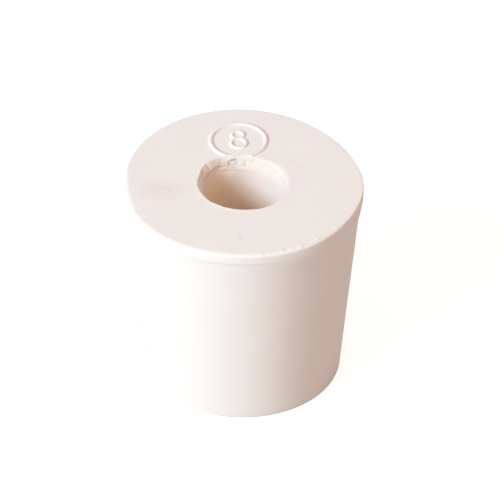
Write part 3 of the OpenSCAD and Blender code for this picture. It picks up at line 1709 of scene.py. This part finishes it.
@dataclass
class Studio:
    """A pale floor, a soft key lamp, a warm fill all round, and the camera.

    Attributes:
        middle: The point of the stopper that the camera is set up on.
        elevation: Height of the camera over the horizon, in degrees.
        distance: From the camera to the middle.
        lens_mm: Focal length, on a sensor 36 mm wide.
        roll: Turn of the camera about the line that it looks along, in degrees.
        aim_right: How far to the right of the middle the camera aims.
        aim_up: How far above the middle the camera aims.
        key_azimuth: Turn of the key lamp to the right of the camera, in degrees.
        key_elevation: Height of the key lamp over the horizon, in degrees.
        key_distance: From the key lamp to the middle.
        key_size: Width of the key lamp.
        key_power: Power of the key lamp, in watts.
        key_colour: Colour of the key lamp.
        fill_colour: Colour of the light from all round.
        floor_size: Width of the floor.
        floor_colour: The floor's own colour, by which it throws light back.
        floor_roughness: How matt the floor is.
        glow_colour: Colour that the floor adds where it is seen.
        glow_strength: How much of that colour it adds.
    """

    middle: Vector
    elevation: float = 37.576
    distance: float = 1181.1 * MM
    lens_mm: float = 745.2
    roll: float = 0.213
    aim_right: float = 0.930 * MM
    aim_up: float = 2.317 * MM
    key_azimuth: float = -50.0
    key_elevation: float = 32.0
    key_distance: float = 0.90
    key_size: float = 0.40
    key_power: float = 8.9
    key_colour: Colour = (0.656, 0.878, 1.0)
    fill_colour: Colour = (0.648, 0.518, 0.455)
    floor_size: float = 3.0
    floor_colour: Colour = (0.61, 0.53, 0.48)
    floor_roughness: float = 0.9
    glow_colour: Colour = (0.94, 0.98, 1.0)
    glow_strength: float = 0.76

    def build(self) -> None:
        """Set up the camera, the lamps, the world and the floor."""
        self._camera()
        self._key()
        self._world()
        self._floor()
        bpy.context.scene.view_settings.view_transform = "Standard"

    def _camera(self) -> None:
        """Place the camera in front of the stopper, looking down on it."""
        lift = math.radians(self.elevation)
        tip = math.radians(self.roll)
        back = Vector((0.0, -math.cos(lift), math.sin(lift)))
        level = Vector((1.0, 0.0, 0.0))
        upright = back.cross(level)
        right = level * math.cos(tip) + upright * math.sin(tip)
        up = upright * math.cos(tip) - level * math.sin(tip)
        eye = self.middle + back * self.distance
        target = self.middle + right * self.aim_right + up * self.aim_up
        look_back = (eye - target).normalized()
        right = up.cross(look_back).normalized()
        up = look_back.cross(right)
        data = bpy.data.cameras.new("camera")
        data.lens = self.lens_mm
        data.sensor_width = 36.0
        data.clip_start = 0.05
        data.clip_end = 20.0
        camera = bpy.data.objects.new("camera", data)
        turned = Matrix((right, up, look_back)).transposed().to_4x4()
        camera.matrix_world = Matrix.Translation(eye) @ turned
        bpy.context.scene.collection.objects.link(camera)
        bpy.context.scene.camera = camera

    def _key(self) -> None:
        """Place the soft key lamp to the front left."""
        across, lift = math.radians(self.key_azimuth), math.radians(self.key_elevation)
        towards = Vector((math.sin(across) * math.cos(lift), -math.cos(across) * math.cos(lift),
                          math.sin(lift)))
        data = bpy.data.lights.new("key", "AREA")
        data.shape = "DISK"
        data.size = self.key_size
        data.energy = self.key_power
        data.color = self.key_colour
        lamp = bpy.data.objects.new("key", data)
        lamp.location = self.middle + towards * self.key_distance
        lamp.rotation_euler = towards.to_track_quat("Z", "Y").to_euler()
        bpy.context.scene.collection.objects.link(lamp)

    def _world(self) -> None:
        """Light the stopper from all round, and show plain white past the floor's edge."""
        world = bpy.data.worlds.new("studio")
        bpy.context.scene.world = world
        world.use_nodes = True
        tree = world.node_tree
        shown = tree.nodes["Background"]
        shown.inputs["Color"].default_value = (1.0, 1.0, 1.0, 1.0)
        light = tree.nodes.new("ShaderNodeBackground")
        light.inputs["Color"].default_value = (*self.fill_colour, 1.0)
        self._set_surface(tree, "World Output", light.outputs[0], shown.outputs[0])

    def _floor(self) -> None:
        """Lay a plain white floor that keeps a soft shadow."""
        clear_selection()
        bpy.ops.mesh.primitive_plane_add(size=self.floor_size, location=(0.0, 0.0, 0.0))
        floor = bpy.context.object
        floor.name = "floor"
        material = bpy.data.materials.new("white_floor")
        material.use_nodes = True
        tree = material.node_tree
        plain = tree.nodes["Principled BSDF"]
        plain.inputs["Base Color"].default_value = (*self.floor_colour, 1.0)
        plain.inputs["Roughness"].default_value = self.floor_roughness
        plain.inputs["Specular IOR Level"].default_value = 0.0
        glow = tree.nodes.new("ShaderNodeEmission")
        glow.inputs["Color"].default_value = (*self.glow_colour, 1.0)
        glow.inputs["Strength"].default_value = self.glow_strength
        both = tree.nodes.new("ShaderNodeAddShader")
        tree.links.new(plain.outputs[0], both.inputs[0])
        tree.links.new(glow.outputs[0], both.inputs[1])
        self._set_surface(tree, "Material Output", plain.outputs[0], both.outputs[0])
        floor.data.materials.append(material)

    @staticmethod
    def _set_surface(tree: bpy.types.NodeTree, output: str, light: bpy.types.NodeSocket,
                     shown: bpy.types.NodeSocket) -> None:
        """Link a surface that lights the stopper in one way and is seen in another.

        Args:
            tree: The nodes of the world or of a material.
            output: The name of its output node.
            light: The shader that lights the stopper.
            shown: The shader for the rays by which the background is seen, straight, in a
                reflection or through glass.
        """
        path = tree.nodes.new("ShaderNodeLightPath")
        seen = path.outputs["Is Camera Ray"]
        for ray in ("Is Glossy Ray", "Is Transmission Ray"):
            either = tree.nodes.new("ShaderNodeMath")
            either.operation = "MAXIMUM"
            tree.links.new(seen, either.inputs[0])
            tree.links.new(path.outputs[ray], either.inputs[1])
            seen = either.outputs[0]
        mix = tree.nodes.new("ShaderNodeMixShader")
        for value, socket in zip((seen, light, shown), mix.inputs):
            tree.links.new(value, socket)
        tree.links.new(mix.outputs[0], tree.nodes[output].inputs["Surface"])


def main() -> None:
    """Build the stopper and the studio."""
    logging.basicConfig(level=logging.INFO, format="%(name)s: %(message)s")
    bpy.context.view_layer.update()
    sizes = StopperSizes.from_frame(frame["record"])
    stopper = Stopper(sizes)
    piece = stopper.build()
    stopper.dress(piece)
    stopper.declare(piece)
    triangles = sum(len(face.vertices) - 2 for face in piece.data.polygons)
    LOG.info("%s: %d points, %d triangles", piece.name, len(piece.data.vertices), triangles)
    Studio(Vector((0.0, 0.0, sizes.face_z / 2))).build()
    LOG.info("studio is set up")


if __name__ == "__main__":
    main()
